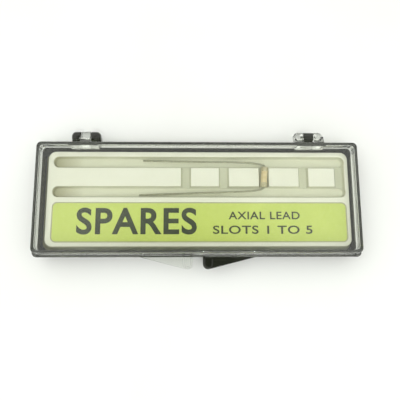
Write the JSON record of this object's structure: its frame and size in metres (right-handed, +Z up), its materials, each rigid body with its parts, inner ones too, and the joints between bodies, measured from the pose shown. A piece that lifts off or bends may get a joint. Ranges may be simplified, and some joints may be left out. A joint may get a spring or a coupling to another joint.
{
  "type": "hinged fuse case",
  "caption": "Slim hinged plastic case with a clear lid, a dark base and a grooved tray that holds axial-lead fuses by their bodies and bent leads.",
  "frame": {"origin": "middle of the case's footprint, on the flat face it stands on", "axes": "+X along the case's length, +Y to the hinges, +Z up through the shut lid; the thumb tabs are at -Y"},
  "size_m": [0.107, 0.046, 0.0113],
  "materials": {
    "black_polystyrene": "glossy moulded black",
    "clear_polystyrene": "clear, glossy",
    "tray_sheet": "satin cream sheet",
    "label_paper": "uncoated green paper",
    "fuse_ceramic": "varnished tan",
    "fuse_wire": "bright drawn wire",
    "tinned_cap": "tinned, dull",
    "solder": "dull solder",
    "tinned_lead": "tinned wire, tarnished"
  },
  "bodies": {
    "base": {"base_shell": "black_polystyrene", "insert_tray": "tray_sheet", "label": "label_paper"},
    "lid": {"lid_shell": "clear_polystyrene"},
    "fuse": {"fuse_tube": "fuse_ceramic", "fuse_element": "fuse_wire", "fuse_cap_back": "tinned_cap", "fuse_cap_front": "tinned_cap", "solder_back": "solder", "solder_front": "solder", "lead_back": "tinned_lead", "lead_front": "tinned_lead"}
  },
  "joints": [
    {"name": "lid_hinge", "type": "hinge", "parent": "base", "child": "lid", "pos_m": [0, 0.02118, 0.00565], "axis": [-1, 0, 0], "range_deg": [0, 180]},
    {"name": "fuse_lift", "type": "slide", "parent": "base", "child": "fuse", "axis": [0, 0, 1], "range_m": [0, 0.005]}
  ]
}
